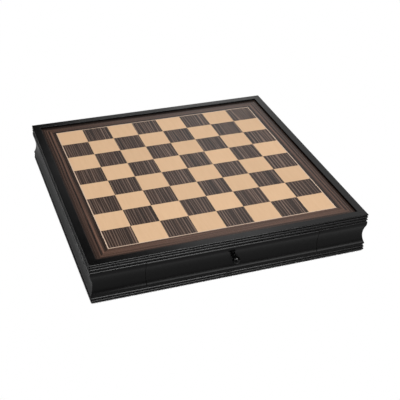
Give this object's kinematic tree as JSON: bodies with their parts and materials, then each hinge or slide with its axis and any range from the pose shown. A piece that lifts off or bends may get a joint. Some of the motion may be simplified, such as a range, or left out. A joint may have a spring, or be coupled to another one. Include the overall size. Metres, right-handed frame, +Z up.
{
  "type": "chess box with drawers",
  "caption": "Square chess box: an inlaid board in a reeded black case, with lined drawers for the men that pull out by ball knobs on opposite sides.",
  "frame": {"origin": "on the floor under the centre of the box", "axes": "+X to the right and +Z up as the front drawer is faced; +Y from the front drawer to the back drawer"},
  "size_m": [0.4826, 0.5086, 0.075],
  "materials": {
    "black_lacquer": "ebonised moulding under satin black lacquer",
    "knob_lacquer": "turned ball under gloss black lacquer",
    "ebony_veneer": "striped ebony veneer, satin lacquer, grain along each border strip",
    "ebony_squares": "striped ebony veneer, satin lacquer, grain front to back",
    "maple_squares": "warm maple veneer, satin lacquer",
    "maple_stringing": "pale maple line, satin lacquer",
    "fibreboard": "bare fibreboard core",
    "base_board": "thin board stained black",
    "beech": "planed beech, unfinished",
    "drawer_wood": "stained hardwood, satin",
    "drawer_ply": "thin plywood, stained",
    "green_felt": "dark green felt",
    "black_felt": "black felt pad",
    "screw_steel": "zinc plated steel"
  },
  "bodies": {
    "case": {"left_side_moulding": "black_lacquer", "right_side_moulding": "black_lacquer", "front_top_rail": "black_lacquer", "front_bottom_rail": "black_lacquer", "front_left_block": "black_lacquer", "front_right_block": "black_lacquer", "back_top_rail": "black_lacquer", "back_bottom_rail": "black_lacquer", "back_left_block": "black_lacquer", "back_right_block": "black_lacquer", "base_panel": "base_board", "base_pads": "black_felt", "base_screws": "screw_steel", "board_core": "fibreboard", "dark_squares": "ebony_squares", "light_squares": "maple_squares", "stringing_front": "maple_stringing", "stringing_back": "maple_stringing", "stringing_left": "maple_stringing", "stringing_right": "maple_stringing", "border_front": "ebony_veneer", "border_back": "ebony_veneer", "border_left": "ebony_veneer", "border_right": "ebony_veneer", "left_guide": "beech", "right_guide": "beech", "center_divider": "beech", "front_left_runner": "beech", "front_right_runner": "beech", "back_left_runner": "beech", "back_right_runner": "beech"},
    "front_drawer": {"front_drawer_front": "black_lacquer", "front_drawer_left_side": "drawer_wood", "front_drawer_right_side": "drawer_wood", "front_drawer_back": "drawer_wood", "front_drawer_bottom": "drawer_ply", "front_drawer_liner": "green_felt", "front_knob": "knob_lacquer", "front_knob_screw": "screw_steel"},
    "back_drawer": {"back_drawer_front": "black_lacquer", "back_drawer_left_side": "drawer_wood", "back_drawer_right_side": "drawer_wood", "back_drawer_back": "drawer_wood", "back_drawer_bottom": "drawer_ply", "back_drawer_liner": "green_felt", "back_knob": "knob_lacquer", "back_knob_screw": "screw_steel"}
  },
  "joints": [
    {"name": "front_drawer_slide", "type": "slide", "parent": "case", "child": "front_drawer", "axis": [0, -1, 0], "range_m": [0, 0.18]},
    {"name": "back_drawer_slide", "type": "slide", "parent": "case", "child": "back_drawer", "axis": [0, 1, 0], "range_m": [0, 0.18]}
  ]
}
